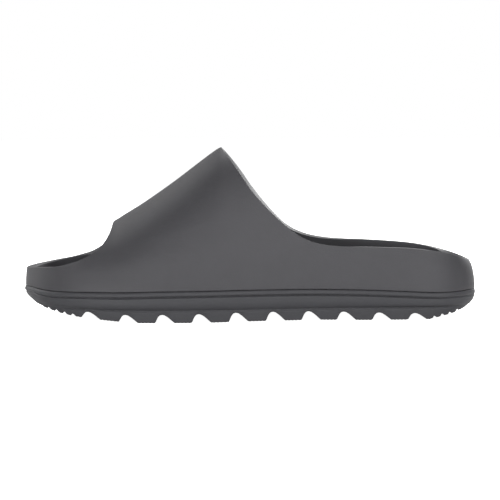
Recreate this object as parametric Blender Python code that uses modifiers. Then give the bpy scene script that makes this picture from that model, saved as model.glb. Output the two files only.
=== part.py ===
"""Moulded foam slide sandal, left shoe: upper, insole and outsole.

The toe points along -X, the lateral side faces -Y and the floor is z = 0. The origin
lies on the floor under the middle of the shoe. All lengths are in metres.
"""
import math

import bmesh
import bpy
import numpy as np

# Driving sizes
LENGTH = 0.2862           # toe tip to heel tip
BALL_WIDTH = 0.108        # across the ball of the foot
HEEL_WIDTH = 0.078        # across the heel
SEAM_HEIGHT = 0.0197      # floor to the seam between upper and outsole
STRAP_HEIGHT = 0.1077     # floor to the strap's highest edge
TOE_RIM_HEIGHT = 0.0318   # floor to the top of the wall at the toe tip
HEEL_RIM_HEIGHT = 0.0442  # floor to the top of the wall beside the heel
FOOTBED_HEIGHT = 0.0320   # floor to the footbed under the arch
CREASE_HEIGHT = 0.0078    # floor to the crease over the lugs
WALL = 0.0060             # thickness of strap and side wall
RIM_ROUNDING = 0.0006     # rounding of the wall's free edges
SEAM_ROUNDING = 0.0011    # rounding of the wall's lower edges
FLARE = 0.0009            # how far the wall spreads at its foot
FLARE_HEIGHT = 0.0080     # height of that spread
FOOT_LAND = 0.0015        # upright land at the wall's foot
BEAD_HEIGHT = 0.0029      # moulded bead round the outsole
BEAD_PROUD = (0.0005, 0.0005, 0.0002)   # how far the bead stands out at side, toe tip and heel tip
GROOVE_DEPTH = 0.0010     # grooves over and under the bead
GROOVE_FADE = (1, 0.2, 0.1)   # share of it under the bead at side, toe tip and heel tip
GAP = 0.0003              # clearance between touching pieces
SIDE_GAP = 0.0006         # clearance between insole and wall, which curve side by side

# Tread
NOTCH_DEPTH = 0.0057      # depth of a notch at the middle of the shoe
NOTCH_TAPER = 0.28        # how much shallower the first and last notch are
RIB_DEPTH = 0.0016        # depth of the small grooves at toe and heel
TOE_RIB_COUNT = 5
TOE_RIBS = (0.0385, 0.1143)   # stations of the first and last toe groove
HEEL_RIB_COUNT = 4
HEEL_RIBS = (0.902, 0.955)    # stations of the first and last heel groove

# Places along the shoe, stations as shares of the length from the toe
TOE_PIVOT = 0.155         # the wall's sections turn round this point at the toe
HEEL_PIVOT = 0.865        # and round this one at the heel
LIP_STATION = 0.1971      # front edge of the strap on the crown
APEX_STATION = 0.4380     # rear edge of the strap on the crown
CROWN_SHIFT = 0.035       # crown towards the medial side, share of the local width
SECTION_POWER = 2.2       # fullness of the arch: 2 is an ellipse, more is fuller
WAIST = (0.30, 0.75)      # stations between which the ball width eases into the heel width
FLARE_REACH = 1.5         # how soon the wall's spread sets in behind the toe and before the heel
TOE_BLEND = 0.25          # the outsole's toe and heel values reach this far along the length
HEEL_BLEND = 0.16
HOLLOW_POWER = 4          # flatness of the footbed's middle between its edges

# Outline at the seam: station, medial and lateral half widths as shares of the local width
OUTLINE = (
    (0.00, 0.055, -0.055),
    (0.02, 0.296, 0.167),
    (0.05, 0.398, 0.296),
    (0.10, 0.463, 0.403),
    (0.18, 0.491, 0.472),
    (0.27, 0.491, 0.509),
    (0.36, 0.464, 0.525),
    (0.48, 0.431, 0.539),
    (0.60, 0.425, 0.542),
    (0.72, 0.459, 0.536),
    (0.84, 0.481, 0.506),
    (0.93, 0.423, 0.436),
    (0.98, 0.250, 0.256),
    (1.00, 0.000, 0.000),
)
# Station, seam height as a share of SEAM_HEIGHT
SEAM_LINE = (
    (0.00, 1.040),
    (0.02, 1.050),
    (0.035, 1.020),
    (0.05, 0.996),
    (0.08, 0.977),
    (0.21, 0.970),
    (0.30, 0.998),
    (0.39, 1.010),
    (0.52, 1.025),
    (0.60, 1.022),
    (0.73, 0.983),
    (0.84, 0.912),
    (0.92, 0.860),
    (0.95, 0.868),
    (0.975, 0.885),
    (1.00, 0.877),
)
# Station, crown height as a share of STRAP_HEIGHT; in front of and behind the strap it only
# leans the wall
CROWN_LINE = (
    (0.000, 0.640),
    (0.080, 0.600),
    (0.155, 0.545),
    (0.1971, 0.564),
    (0.217, 0.596),
    (0.235, 0.6245),
    (0.257, 0.660),
    (0.328, 0.789),
    (0.400, 0.933),
    (0.420, 0.972),
    (0.438, 1.000),
    (0.500, 1.010),
    (0.600, 0.900),
    (0.720, 0.720),
    (0.850, 0.620),
    (1.000, 0.550),
)
# Station, lateral and medial height of the toe wall's top as shares of TOE_RIM_HEIGHT
TOE_RIM = (
    (0.000, 1.000, 1.000),
    (0.033, 1.044, 1.040),
    (0.064, 1.068, 1.084),
    (0.087, 1.102, 1.116),
    (0.110, 1.162, 1.164),
    (0.143, 1.266, 1.258),
    (0.165, 1.379, 1.373),
)
# Lateral and medial station where the toe rim turns up into the strap
TOE_JUNCTION = (0.165, 0.165)
LIP_SWEEP = 4             # how quickly the strap's front edge turns upright over the toe rim
# Station, lateral and medial height of the collar as shares of the rise from HEEL_RIM_HEIGHT to the
# strap's top: 0 is the rim beside the heel and 1 the strap's highest edge
COLLAR = (
    (0.438, 1.000, 1.000),
    (0.455, 0.905, 0.905),
    (0.482, 0.735, 0.735),
    (0.503, 0.592, 0.592),
    (0.547, 0.372, 0.352),
    (0.589, 0.200, 0.182),
    (0.623, 0.100, 0.110),
    (0.661, 0.052, 0.072),
    (0.697, 0.033, 0.055),
    (0.770, 0.019, 0.039),
    (0.843, 0.006, 0.015),
    (0.878, -0.009, -0.003),
    (0.916, -0.029, -0.030),
    (0.954, -0.062, -0.069),
    (0.982, -0.096, -0.103),
    (1.000, -0.132, -0.132),
)
# Lateral and medial station where the collar turns up into the strap
COLLAR_JUNCTION = (0.606, 0.606)
# Station, underside height as a share of SEAM_HEIGHT: toe spring, tread with a low arch, raised heel
UNDERSIDE = (
    (0.000, 0.700),
    (0.018, 0.530),
    (0.030, 0.430),
    (0.044, 0.390),
    (0.060, 0.345),
    (0.091, 0.258),
    (0.129, 0.165),
    (0.180, 0.088),
    (0.215, 0.042),
    (0.255, 0.000),
    (0.385, 0.000),
    (0.500, 0.025),
    (0.640, 0.032),
    (0.780, 0.000),
    (0.888, 0.000),
    (0.908, 0.055),
    (0.924, 0.105),
    (0.940, 0.140),
    (0.958, 0.210),
    (0.975, 0.270),
    (1.000, 0.420),
)
# Station, footbed height on its middle line, rise to its edges, both as shares of FOOTBED_HEIGHT
FOOTBED = (
    (0.00, 0.860, 0.050),
    (0.08, 0.835, 0.055),
    (0.30, 0.840, 0.050),
    (0.45, 0.930, 0.050),
    (0.60, 1.000, 0.060),
    (0.75, 0.975, 0.095),
    (0.88, 0.940, 0.110),
    (0.96, 0.950, 0.070),
    (1.00, 0.965, 0.020),
)
# Stations of the sawtooth notches across the sole
NOTCHES = (0.1451, 0.2273, 0.3062, 0.3851, 0.4649, 0.5449, 0.6224, 0.6992, 0.7763, 0.8547)
# One notch: offset as a share of the pitch, depth as a share of NOTCH_DEPTH
NOTCH_SHAPE = (
    (-0.135, 0.00),
    (-0.067, 0.66),
    (-0.010, 0.94),
    (0.060, 1.00),
    (0.130, 0.93),
    (0.230, 0.64),
    (0.400, 0.00),
)
# One small groove between ribs: offset as a share of its pitch, depth as a share of RIB_DEPTH
RIB_SHAPE = ((-0.20, 0.0), (0.00, 1.0), (0.35, 0.0))
# The bead: height as a share of BEAD_HEIGHT, how far out as a share of BEAD_PROUD
BEAD_SHAPE = ((0.06, 0.2), (0.40, 1.0), (0.85, 0.4))
# Groove under the bead: depth below the bead and depth into the side as shares of GROOVE_DEPTH
GROOVE_SHAPE = ((1.10, 0.5), (0.50, 1.0))
# Outsole side over the tread: height at side, toe tip and heel tip, then how far it stands in from
# the outline at side, toe and heel. The crease's heights are shares of CREASE_HEIGHT and the band's
# are shares of the seam height
CREASE_LEVELS = (
    (0.88, 1.19, 0.85, 0.0018, 0.0070, 0.0047),
    (0.98, 1.26, 0.91, 0.0026, 0.0061, 0.0040),
    (1.08, 1.33, 0.99, 0.0020, 0.0054, 0.0032),
)
BAND_LEVELS = (
    (0.490, 0.593, 0.561, 0.0010, 0.0038, 0.0017),
    (0.610, 0.661, 0.634, 0.0002, 0.0021, 0.0009),
    (0.730, 0.724, 0.707, 0.0002, 0.0010, 0.0004),
)
EDGE_INSET = (0.0024, 0.0086, 0.0066)   # tread edge in from the outline at side, toe and heel

# Fineness of the solids
STRAP_COLUMNS = 18
ARCH_ROWS = 10
ARCH_CROWDING = 1.2       # above 1 the rows lie closer together over the wall
WALL_SHARES = (0, 0.18, 0.4, 0.7, 1)    # rows of the wall over its upright land
INSOLE_SHARES = (0.35, 0.6, 1)          # rows of the insole's side over its own
TOE_COLUMNS = 28
HEEL_COLUMNS = 40
SOLE_STATIONS = 42
INSOLE_STATIONS = 40
ACROSS = 8
CUT_OVERRUN = 0.1         # how far a groove's flanks run on below the underside, share of their last step
SHARP_ANGLE = math.radians(40)


def monotone(table, column, station):
    """Smooth curve through one column of a table that never runs past its rows."""
    rows = np.array(table)
    knots, values = rows[:, 0], rows[:, column]
    spans = np.diff(knots)
    rates = np.diff(values) / spans
    product = rates[:-1] * rates[1:]
    total = rates[:-1] + rates[1:]
    inner = np.where(product > 0, 2 * product / np.where(total == 0, 1, total), 0)
    slopes = np.concatenate(([rates[0]], inner, [rates[-1]]))
    station = np.clip(station, knots[0], knots[-1])
    i = np.clip(np.searchsorted(knots, station) - 1, 0, len(spans) - 1)
    t = (station - knots[i]) / spans[i]
    return (
        values[i] * (1 + 2 * t) * (1 - t) ** 2
        + values[i + 1] * t * t * (3 - 2 * t)
        + slopes[i] * spans[i] * t * (1 - t) ** 2
        - slopes[i + 1] * spans[i] * t * t * (1 - t)
    )


def closed_spline(knots, values, query):
    """Closed cubic spline of period two pi: one bend value per knot, solved together."""
    count = len(knots)
    spans = np.diff(np.append(knots, knots[0] + 2 * math.pi))
    rates = (np.roll(values, -1) - values) / spans
    system = np.zeros((count, count))
    for i in range(count):
        system[i, i - 1] += spans[i - 1]
        system[i, i] += 2 * (spans[i - 1] + spans[i])
        system[i, (i + 1) % count] += spans[i]
    bends = np.linalg.solve(system, 6 * (rates - np.roll(rates, 1)))
    query = np.mod(query - knots[0], 2 * math.pi) + knots[0]
    i = np.searchsorted(knots, query, side="right") - 1
    after = (i + 1) % count
    span, t = spans[i], query - knots[i]
    slope = rates[i] - span * (2 * bends[i] + bends[after]) / 6
    return values[i] + t * (slope + t * (bends[i] / 2 + t * (bends[after] - bends[i]) / (6 * span)))


def local_width(station):
    """Ball width in the forefoot, easing to heel width behind the arch."""
    t = np.clip((station - WAIST[0]) / (WAIST[1] - WAIST[0]), 0, 1)
    return BALL_WIDTH + (HEEL_WIDTH - BALL_WIDTH) * t * t * (3 - 2 * t)


def station_of(phi):
    """Share of the length from the toe at outline angle phi: 0 at the toe, pi at the heel."""
    return (1 - np.cos(phi)) / 2


def raw_outline_y(phi):
    """Side coordinate of the outline; the medial side has phi below pi, the lateral side above."""
    rows = np.array(OUTLINE)
    angles = np.arccos(1 - 2 * rows[:, 0])
    widths = local_width(rows[:, 0])
    medial = rows[:, 1] * widths
    lateral = -rows[:, 2] * widths
    knots = np.concatenate((angles, 2 * math.pi - angles[-2:0:-1]))
    values = np.concatenate((medial, lateral[-2:0:-1]))
    return closed_spline(knots, values, phi)


ALL_ROUND = np.linspace(0, 2 * math.pi, 721)
SIDE_SHIFT = -(raw_outline_y(ALL_ROUND).max() + raw_outline_y(ALL_ROUND).min()) / 2


def x_of(station):
    """World x of a station."""
    return (station - 0.5) * LENGTH


def outline(phi):
    """Outline points at the seam, centred on the origin."""
    return np.stack((x_of(station_of(phi)), raw_outline_y(phi) + SIDE_SHIFT), axis=-1)


def pivot(phi):
    """Point that the section at phi closes towards: the crown line, held back from toe and heel."""
    station = np.clip(station_of(phi), TOE_PIVOT, HEEL_PIVOT)
    angle = np.arccos(1 - 2 * station)
    medial = outline(angle)[..., 1]
    lateral = outline(2 * math.pi - angle)[..., 1]
    middle = (medial + lateral) / 2 + CROWN_SHIFT * (medial - lateral)
    return np.stack((x_of(station), middle), axis=-1)


def seam_height(phi):
    """Height of the seam at phi."""
    return SEAM_HEIGHT * monotone(SEAM_LINE, 1, station_of(phi))


def crown_rise(phi):
    """Height of the crown line over the seam at phi."""
    return STRAP_HEIGHT * monotone(CROWN_LINE, 1, station_of(phi)) - seam_height(phi)


def dome(phi, theta):
    """Outer surface of the upper.

    phi runs round the outline and theta up the section, 0 at the seam and half pi on the
    crown. The section is a superellipse from outline to pivot, spread a little at its foot.
    """
    rise = crown_rise(phi) * np.sin(theta) ** (2 / SECTION_POWER)
    base, centre = outline(phi), pivot(phi)
    reach = np.linalg.norm(centre - base, axis=-1)
    ends = np.clip(np.sin(phi) ** 2 * FLARE_REACH, 0, 1)
    spread = np.clip((rise - FOOT_LAND) / FLARE_HEIGHT, 0, 1)
    foot = spread * spread * (3 - 2 * spread)
    closing = 1 - np.cos(theta) ** (2 / SECTION_POWER)
    closing = closing + FLARE * ends * foot / reach * (1 - closing)
    plan = base + (centre - base) * closing[..., None]
    return np.concatenate((plan, (seam_height(phi) + rise)[..., None]), axis=-1)


def theta_at(phi, height):
    """Section angle at which the upper's surface reaches a height."""
    share = np.clip((height - seam_height(phi)) / crown_rise(phi), 0, 1)
    return np.arcsin(share ** (SECTION_POWER / 2))


def wall_inside(phi, rise, depth):
    """Point a depth inside the outer surface, at a rise over the seam."""
    theta = theta_at(phi, seam_height(phi) + rise)
    step = 1e-3
    along = dome(phi + step, theta) - dome(phi - step, theta)
    up = dome(phi, theta + step) - dome(phi, np.maximum(theta - step, 0))
    normal = np.cross(along, up)
    normal /= np.linalg.norm(normal, axis=-1, keepdims=True)
    outward = dome(phi, theta)[..., :2] - pivot(phi)
    side = np.sign(np.sum(normal[..., :2] * outward, axis=-1))
    return dome(phi, theta) - normal * side[..., None] * depth


def rim_height(phi):
    """Top of the wall: toe rim in front of the strap, collar behind it."""
    station = station_of(phi)
    lateral = np.mod(phi, 2 * math.pi) > math.pi
    toe_share = np.where(lateral, monotone(TOE_RIM, 1, station), monotone(TOE_RIM, 2, station))
    toe = TOE_RIM_HEIGHT * toe_share
    share = np.where(lateral, monotone(COLLAR, 1, station), monotone(COLLAR, 2, station))
    collar = HEEL_RIM_HEIGHT + share * (STRAP_HEIGHT - HEEL_RIM_HEIGHT)
    return np.where(station < APEX_STATION, toe, collar)


def phi_of(station, lateral):
    """Outline angle of a station on one side."""
    angle = np.arccos(1 - 2 * np.clip(station, 0, 1))
    return 2 * math.pi - angle if lateral else angle


def wall_rows(phi, top):
    """Wall at the angles phi: the upright land, then rows up to the section angle top."""
    land = theta_at(phi, seam_height(phi) + FOOT_LAND)
    theta = land + (top - land) * np.array(WALL_SHARES)[:, None]
    theta = np.concatenate((np.zeros((1, len(phi))), theta))
    return dome(np.broadcast_to(phi, theta.shape), theta)


def wall_strip(start, end, columns):
    """Low wall from one outline angle to another: rows from the seam up to the rim."""
    phi = np.linspace(start, end, columns + 1)
    return wall_rows(phi, theta_at(phi, rim_height(phi)))


def collar_station(theta, lateral):
    """Station where the section angle theta meets the collar, found by halving."""
    low = np.full_like(theta, APEX_STATION)
    high = np.full_like(theta, COLLAR_JUNCTION[0 if lateral else 1])
    for _ in range(40):
        middle = (low + high) / 2
        phi = phi_of(middle, lateral)
        above = dome(phi, theta)[..., 2] > rim_height(phi)
        high = np.where(above, middle, high)
        low = np.where(above, low, middle)
    return (low + high) / 2


def strap_half(lateral):
    """Strap on one side, rows from the seam to the crown and columns from lip to collar."""
    side = 0 if lateral else 1
    front, rear = TOE_JUNCTION[side], COLLAR_JUNCTION[side]
    u = np.linspace(0, 1, STRAP_COLUMNS + 1)
    ends = phi_of(np.array([front, rear]), lateral)
    turn = theta_at(ends, rim_height(ends))
    turn_row = turn[0] + (turn[1] - turn[0]) * u
    wall = wall_rows(phi_of(front + (rear - front) * u, lateral), turn_row)
    arch_share = np.linspace(0, 1, ARCH_ROWS + 1)[1:, None] ** ARCH_CROWDING
    theta = turn_row + (math.pi / 2 - turn_row) * arch_share
    lip = front + (LIP_STATION - front) * (1 - (1 - arch_share[:, 0]) ** LIP_SWEEP)
    collar = collar_station(theta[:, -1], lateral)
    collar[-1] = APEX_STATION
    station = lip[:, None] + (collar - lip)[:, None] * u
    return np.concatenate((wall, dome(phi_of(station, lateral), theta)))


def add_grid(mesh, points):
    """Quads over a grid of points."""
    rows, columns = points.shape[:2]
    verts = [mesh.verts.new(p) for p in points.reshape(-1, 3)]
    for i in range(rows - 1):
        for j in range(columns - 1):
            a = i * columns + j
            mesh.faces.new((verts[a], verts[a + 1], verts[a + columns + 1], verts[a + columns]))


def new_object(name, mesh, collection, material=None):
    """Object from a bmesh, in a collection, with its material."""
    data = bpy.data.meshes.new(name)
    mesh.to_mesh(data)
    mesh.free()
    data.shade_smooth()
    thing = bpy.data.objects.new(name, data)
    collection.objects.link(thing)
    if material:
        data.materials.append(material)
    return thing


def foam(name, colour, roughness):
    """Matt moulded foam."""
    material = bpy.data.materials.new(name)
    material.use_nodes = True
    shader = material.node_tree.nodes["Principled BSDF"]
    shader.inputs["Base Color"].default_value = (*colour, 1)
    shader.inputs["Roughness"].default_value = roughness
    shader.inputs["Metallic"].default_value = 0
    return material


def build_upper(collection, material):
    """Strap and wall as one open sheet, given its thickness and rounded edges by modifiers."""
    mesh = bmesh.new()
    lateral_front, medial_front = (phi_of(s, side) for s, side in zip(TOE_JUNCTION, (True, False)))
    lateral_rear, medial_rear = (phi_of(s, side) for s, side in zip(COLLAR_JUNCTION, (True, False)))
    add_grid(mesh, wall_strip(lateral_front - 2 * math.pi, medial_front, TOE_COLUMNS))
    add_grid(mesh, wall_strip(medial_rear, lateral_rear, HEEL_COLUMNS))
    add_grid(mesh, strap_half(True))
    add_grid(mesh, strap_half(False)[:, ::-1])
    bmesh.ops.remove_doubles(mesh, verts=mesh.verts, dist=1e-5)
    bmesh.ops.recalc_face_normals(mesh, faces=mesh.faces)
    if max(mesh.faces, key=lambda face: face.calc_center_median().z).normal.z < 0:
        bmesh.ops.reverse_faces(mesh, faces=mesh.faces)
    weight = mesh.edges.layers.float.new("bevel_weight_edge")
    limit = (SEAM_HEIGHT + TOE_RIM_HEIGHT) / 2
    for edge in mesh.edges:
        if edge.is_boundary:
            at_seam = edge.verts[0].co.z < limit
            edge[weight] = SEAM_ROUNDING / RIM_ROUNDING if at_seam else 1
    upper = new_object("upper", mesh, collection, material)
    shell = upper.modifiers.new("wall", "SOLIDIFY")
    shell.thickness = WALL
    shell.offset = -1
    shell.use_even_offset = True
    shell.use_quality_normals = True
    rounding = upper.modifiers.new("rounded edges", "BEVEL")
    rounding.limit_method = "WEIGHT"
    rounding.width = RIM_ROUNDING
    rounding.segments = 2
    return upper


def loft(rings):
    """Closed solid through rings of points whose first and last ring have no width."""
    mesh = bmesh.new()
    closed = np.concatenate((rings, rings[:, :1]), axis=1)
    add_grid(mesh, closed)
    bmesh.ops.remove_doubles(mesh, verts=mesh.verts, dist=1e-6)
    bmesh.ops.dissolve_degenerate(mesh, edges=mesh.edges, dist=1e-7)
    bmesh.ops.recalc_face_normals(mesh, faces=mesh.faces)
    return mesh


def section_rings(lateral, medial, top_rise, top_points, bottom_points):
    """Rings of a sole-like solid.

    lateral and medial hold each station's side points from bottom to top. The top and the
    bottom run straight across between them, and top_rise lowers the top's middle.
    """
    w = np.linspace(0, 1, top_points + 1)[1:-1, None]
    start, end = lateral[:, -1][:, None], medial[:, -1][:, None]
    top = start + (end - start) * w
    top[..., 2] += top_rise(w[:, 0])
    w = np.linspace(0, 1, bottom_points + 1)[1:-1, None]
    start, end = medial[:, 0][:, None], lateral[:, 0][:, None]
    bottom = start + (end - start) * w
    return np.concatenate((lateral, top, medial[:, ::-1], bottom), axis=1)


def build_insole(collection, material):
    """Footbed inside the wall: side rows follow the wall, the top is hollowed between its edges."""
    angle = np.linspace(0, math.pi, INSOLE_STATIONS + 1)
    station = station_of(angle)
    middle = FOOTBED_HEIGHT * monotone(FOOTBED, 1, station)
    edge = middle + FOOTBED_HEIGHT * monotone(FOOTBED, 2, station)
    sides = []
    for phi in (2 * math.pi - angle, angle):
        rows = []
        height = edge - seam_height(phi)
        for rise in (0 * height, FOOT_LAND + 0 * height, *(share * height for share in INSOLE_SHARES)):
            point = wall_inside(phi, rise, WALL + SIDE_GAP)
            point[:, 2] = seam_height(phi) + rise
            rows.append(point)
        sides.append(np.stack(rows, axis=1))
    lateral, medial = sides

    def hollow(w):
        """Dip of the top across its width: flat in the middle, steep by the edges."""
        return -(edge - middle)[:, None] * (1 - (2 * w - 1) ** HOLLOW_POWER)

    return new_object("insole", loft(section_rings(lateral, medial, hollow, ACROSS, 2)), collection, material)


def inset_outline(phi, inset):
    """Outline moved towards the pivot."""
    base, centre = outline(phi), pivot(phi)
    direction = (centre - base) / np.linalg.norm(centre - base, axis=-1, keepdims=True)
    return base + direction * np.broadcast_to(inset, phi.shape)[..., None]


def underside(x):
    """Height of the sole's underside at x, before the tread is cut."""
    return SEAM_HEIGHT * monotone(UNDERSIDE, 1, x / LENGTH + 0.5)


def ends_blend(station, side, toe, heel):
    """Side value, easing into the toe's and the heel's own value at the tips."""
    toe_share = np.clip(1 - station / TOE_BLEND, 0, 1) ** 2
    heel_share = np.clip(1 - (1 - station) / HEEL_BLEND, 0, 1) ** 2
    return side + (toe - side) * toe_share + (heel - side) * heel_share


def sole_side(phi):
    """Side of the outsole from tread edge to seam: lug side, crease, band, groove and bead."""
    station = station_of(phi)
    seam = seam_height(phi) - GAP
    levels = []
    edge_plan = inset_outline(phi, ends_blend(station, *EDGE_INSET))
    levels.append((edge_plan, underside(edge_plan[:, 0])))
    for rows, full in ((CREASE_LEVELS, CREASE_HEIGHT), (BAND_LEVELS, seam)):
        for row in rows:
            height = full * ends_blend(station, *row[:3])
            levels.append((inset_outline(phi, ends_blend(station, *row[3:])), height))
    bead_bottom = seam - BEAD_HEIGHT
    for down, deep in GROOVE_SHAPE:
        depth = GROOVE_DEPTH * deep * ends_blend(station, *GROOVE_FADE)
        levels.append((inset_outline(phi, depth), bead_bottom - GROOVE_DEPTH * down))
    for up, out in BEAD_SHAPE:
        proud = out * ends_blend(station, *BEAD_PROUD)
        levels.append((inset_outline(phi, -proud), bead_bottom + BEAD_HEIGHT * up))
    levels.append((inset_outline(phi, GROOVE_DEPTH), seam))
    return np.stack([np.column_stack((plan, height)) for plan, height in levels], axis=1)


def cut_prism(mesh, x, shape, pitch, depth):
    """Prism across the sole that cuts one groove, its profile set on the underside."""
    profile = []
    for offset, share in shape:
        px = x + offset * pitch
        profile.append((px, float(underside(px)) + share * depth))
    first, last = np.array(profile[:2]), np.array(profile[:-3:-1])
    profile[0] = tuple(first[0] + CUT_OVERRUN * (first[0] - first[1]))
    profile[-1] = tuple(last[0] + CUT_OVERRUN * (last[0] - last[1]))
    below = min(z for _, z in profile) - depth
    profile.append((profile[-1][0], below))
    profile.append((profile[0][0], below))
    sides = [[mesh.verts.new((px, y, z)) for px, z in profile] for y in (-BALL_WIDTH, BALL_WIDTH)]
    count = len(profile)
    for i in range(count):
        j = (i + 1) % count
        mesh.faces.new((sides[0][i], sides[0][j], sides[1][j], sides[1][i]))
    mesh.faces.new(sides[0][::-1])
    mesh.faces.new(sides[1])


def build_tread_cutter(collection):
    """All notches and small grooves of the tread as one cutter."""
    mesh = bmesh.new()
    pitch = (NOTCHES[-1] - NOTCHES[0]) / (len(NOTCHES) - 1) * LENGTH
    for station, place in zip(NOTCHES, np.linspace(-1, 1, len(NOTCHES))):
        cut_prism(mesh, x_of(station), NOTCH_SHAPE, pitch, NOTCH_DEPTH * (1 - NOTCH_TAPER * place ** 2))
    for (first, last), count in ((TOE_RIBS, TOE_RIB_COUNT), (HEEL_RIBS, HEEL_RIB_COUNT)):
        stations = np.linspace(first, last, count)
        pitch = (stations[1] - stations[0]) * LENGTH
        for station in stations:
            cut_prism(mesh, x_of(station), RIB_SHAPE, pitch, RIB_DEPTH)
    bmesh.ops.recalc_face_normals(mesh, faces=mesh.faces)
    cutter = new_object("tread_cutter", mesh, collection)
    cutter.hide_render = True
    cutter.display_type = "WIRE"
    return cutter


def build_outsole(collection, cutters, material):
    """Sole with its moulded side, the tread cut across it."""
    angle = np.linspace(0, math.pi, SOLE_STATIONS + 1)
    lateral, medial = sole_side(2 * math.pi - angle), sole_side(angle)
    rings = section_rings(lateral, medial, lambda w: np.zeros((len(angle), len(w))), 2, 2)
    outsole = new_object("outsole", loft(rings), collection, material)
    cut = outsole.modifiers.new("tread", "BOOLEAN")
    cut.operation = "DIFFERENCE"
    cut.solver = "EXACT"
    cut.object = build_tread_cutter(cutters)
    return outsole


def main():
    """Clear the scene and build the shoe."""
    for thing in list(bpy.data.objects):
        bpy.data.objects.remove(thing)
    parts = bpy.data.collections.new("slide_sandal")
    cutters = bpy.data.collections.new("cutters")
    bpy.context.scene.collection.children.link(parts)
    bpy.context.scene.collection.children.link(cutters)
    build_upper(parts, foam("upper_foam", (0.080, 0.079, 0.087), 0.62))
    build_insole(parts, foam("footbed_foam", (0.070, 0.070, 0.076), 0.70))
    build_outsole(parts, cutters, foam("outsole_foam", (0.072, 0.072, 0.078), 0.65))
    for thing in parts.objects:
        thing.data.set_sharp_from_angle(angle=SHARP_ANGLE)


main()
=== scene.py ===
"""Left slide sandal of moulded foam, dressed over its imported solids.

The toe points along -X, the lateral side faces -Y, the floor is z = 0 and lengths are in metres.
The upper is one shell with a broad strap, the insole lies inside it, and the outsole carries both.
"""

import logging
import math
from dataclasses import dataclass
from enum import Enum

import bmesh
import bpy
import numpy as np
from mathutils import Matrix, Vector


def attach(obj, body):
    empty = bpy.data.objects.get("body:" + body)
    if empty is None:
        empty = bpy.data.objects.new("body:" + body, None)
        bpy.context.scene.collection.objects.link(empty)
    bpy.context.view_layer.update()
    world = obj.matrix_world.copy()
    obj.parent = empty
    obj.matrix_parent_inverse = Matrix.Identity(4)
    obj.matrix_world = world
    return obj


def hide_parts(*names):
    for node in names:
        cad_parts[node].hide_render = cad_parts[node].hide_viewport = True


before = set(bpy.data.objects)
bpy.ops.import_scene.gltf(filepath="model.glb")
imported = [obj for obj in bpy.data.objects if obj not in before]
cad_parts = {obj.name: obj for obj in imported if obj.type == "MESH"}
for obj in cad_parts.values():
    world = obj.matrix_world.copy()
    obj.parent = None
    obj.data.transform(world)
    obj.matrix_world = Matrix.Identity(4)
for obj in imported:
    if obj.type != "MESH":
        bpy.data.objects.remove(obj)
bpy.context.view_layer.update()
BODY = "root"
FULL_TURN = 2 * math.pi
HALVINGS = 40           # rounds in which a meeting point is narrowed down
OUTLINE_SAMPLES = 721   # points round the outline where its widest places are looked for
MERGE = 1e-6            # points nearer than this become one

log = logging.getLogger("slide_sandal")

# Outline at the seam: station, medial and lateral half widths as shares of the local width
OUTLINE = (
    (0.00, 0.055, -0.055),
    (0.02, 0.296, 0.167),
    (0.05, 0.398, 0.296),
    (0.10, 0.463, 0.403),
    (0.18, 0.491, 0.472),
    (0.27, 0.491, 0.509),
    (0.36, 0.464, 0.525),
    (0.48, 0.431, 0.539),
    (0.60, 0.425, 0.542),
    (0.72, 0.459, 0.536),
    (0.84, 0.481, 0.506),
    (0.93, 0.423, 0.436),
    (0.98, 0.250, 0.256),
    (1.00, 0.000, 0.000),
)
# Station, seam height as a share of the seam's named height
SEAM_LINE = (
    (0.00, 1.040),
    (0.02, 1.050),
    (0.035, 1.020),
    (0.05, 0.996),
    (0.08, 0.977),
    (0.21, 0.970),
    (0.30, 0.998),
    (0.39, 1.010),
    (0.52, 1.025),
    (0.60, 1.022),
    (0.73, 0.983),
    (0.84, 0.912),
    (0.92, 0.860),
    (0.95, 0.868),
    (0.975, 0.885),
    (1.00, 0.877),
)
# Station, crown height as a share of the strap's height; before and behind the strap it only
# leans the wall
CROWN_LINE = (
    (0.000, 0.640),
    (0.080, 0.600),
    (0.155, 0.545),
    (0.1971, 0.564),
    (0.217, 0.596),
    (0.235, 0.6245),
    (0.257, 0.660),
    (0.328, 0.789),
    (0.400, 0.933),
    (0.420, 0.972),
    (0.438, 1.000),
    (0.500, 1.010),
    (0.600, 0.900),
    (0.720, 0.720),
    (0.850, 0.620),
    (1.000, 0.550),
)
# Station, lateral and medial height of the toe wall's top as shares of the toe rim's height
TOE_RIM = (
    (0.000, 1.000, 1.000),
    (0.033, 1.044, 1.040),
    (0.064, 1.068, 1.084),
    (0.087, 1.102, 1.116),
    (0.110, 1.162, 1.164),
    (0.143, 1.266, 1.258),
    (0.165, 1.379, 1.373),
)
# Station, lateral and medial height of the collar: 0 is the rim beside the heel, 1 the strap's top
COLLAR = (
    (0.438, 1.000, 1.000),
    (0.455, 0.905, 0.910),
    (0.482, 0.735, 0.750),
    (0.503, 0.592, 0.607),
    (0.547, 0.372, 0.362),
    (0.589, 0.200, 0.182),
    (0.623, 0.100, 0.110),
    (0.661, 0.052, 0.072),
    (0.697, 0.033, 0.055),
    (0.770, 0.019, 0.039),
    (0.843, 0.006, 0.015),
    (0.878, -0.009, -0.003),
    (0.916, -0.029, -0.030),
    (0.954, -0.062, -0.069),
    (0.982, -0.096, -0.103),
    (1.000, -0.132, -0.132),
)
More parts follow.
